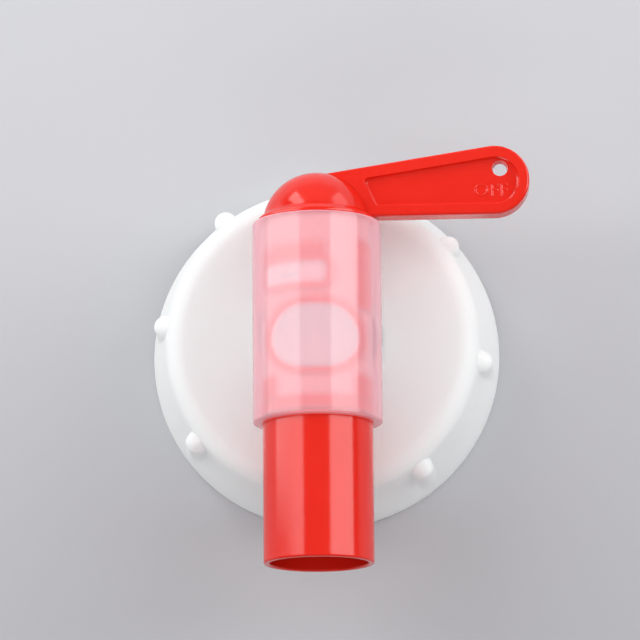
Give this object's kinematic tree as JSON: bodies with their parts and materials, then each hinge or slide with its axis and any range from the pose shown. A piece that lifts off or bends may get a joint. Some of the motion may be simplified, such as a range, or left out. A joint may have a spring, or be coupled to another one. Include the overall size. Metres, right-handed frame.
{
  "type": "jerrycan tap",
  "caption": "Screw cap for a jerrycan's neck with a swivelling tap body; a lever turns a hollow rotor with a straight spout to open liquid and air ports.",
  "frame": {"origin": "centre of the cap's open rim, in the plane of the rim", "axes": "+Z along the cap's axis, from the rim to the tap; -Y along the spout, towards its mouth; +X along the shut lever"},
  "size_m": [0.0789, 0.0845, 0.0479],
  "materials": {
    "cap_natural": "moulded natural polyethylene, slightly translucent, satin",
    "sleeve_frosted": "moulded natural polypropylene, frosted and translucent",
    "flange_natural": "moulded natural polypropylene, satin",
    "gasket_soft": "soft off-white sealing ring, matte",
    "rotor_red": "moulded red polypropylene, glossy"
  },
  "bodies": {
    "screw_cap": {"screw_cap": "cap_natural"},
    "tap_body": {"tap_body": "sleeve_frosted", "inlet_flange": "flange_natural", "neck_gasket": "gasket_soft"},
    "rotor": {"rotor": "rotor_red"}
  },
  "joints": [
    {"name": "cap_turn", "type": "hinge", "parent": "screw_cap", "child": "tap_body", "pos_m": [0, 0, 0], "axis": [0, 0, 1], "continuous": true},
    {"name": "lever_turn", "type": "hinge", "parent": "tap_body", "child": "rotor", "pos_m": [0, 0, 0.03495], "axis": [0, -1, 0], "range_deg": [0, 180]}
  ]
}
